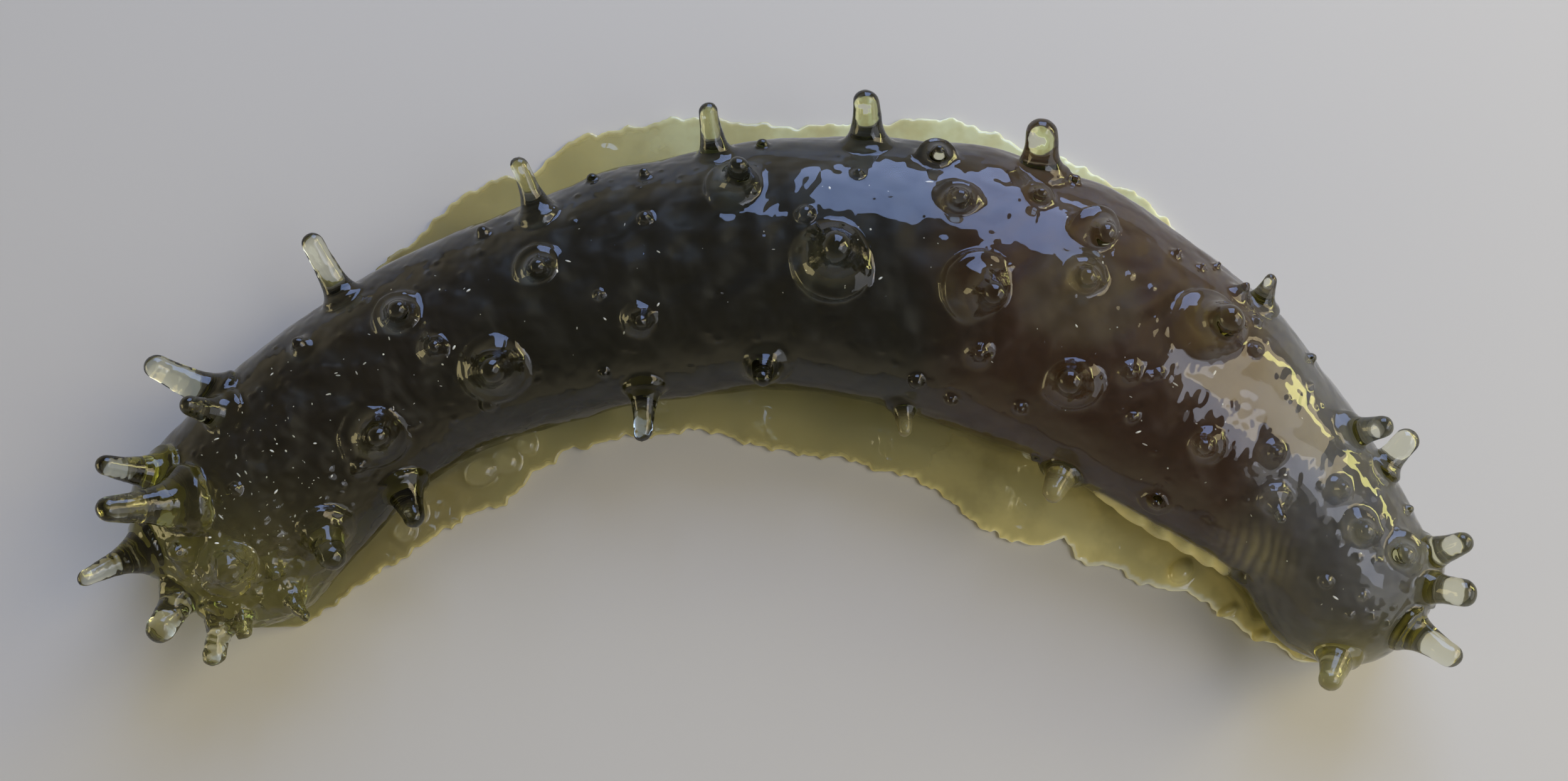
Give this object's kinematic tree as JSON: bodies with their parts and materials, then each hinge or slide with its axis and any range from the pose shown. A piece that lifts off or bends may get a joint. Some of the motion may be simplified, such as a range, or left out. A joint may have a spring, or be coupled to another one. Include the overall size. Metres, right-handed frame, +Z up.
{
  "type": "cast resin sea cucumber model",
  "caption": "Life-size cast of a sea cucumber in smoke-tinted clear resin, bent in an arc on its flat back, studded with papillae and rimmed with thin flash.",
  "frame": {"origin": "on the flat underside, on the body's axis midway along the bend", "axes": "+X from the head end to the tail end along the chord of the bend, +Y to the outer side of the bend, +Z up from the flat back"},
  "size_m": [0.3505, 0.1648, 0.0631],
  "materials": {
    "smoked_resin": "clear tinted casting resin over a near-black brown core, as cast and glossy",
    "clear_resin": "thin translucent olive-yellow casting resin, as cast and glossy, with a torn edge"
  },
  "bodies": {
    "root": {"head_end": "smoked_resin", "fore_trunk": "smoked_resin", "mid_trunk": "smoked_resin", "hind_trunk": "smoked_resin", "tail_end": "smoked_resin", "flash_head": "clear_resin", "flash_fore": "clear_resin", "flash_mid": "clear_resin", "flash_hind": "clear_resin", "flash_tail": "clear_resin"}
  },
  "joints": []
}
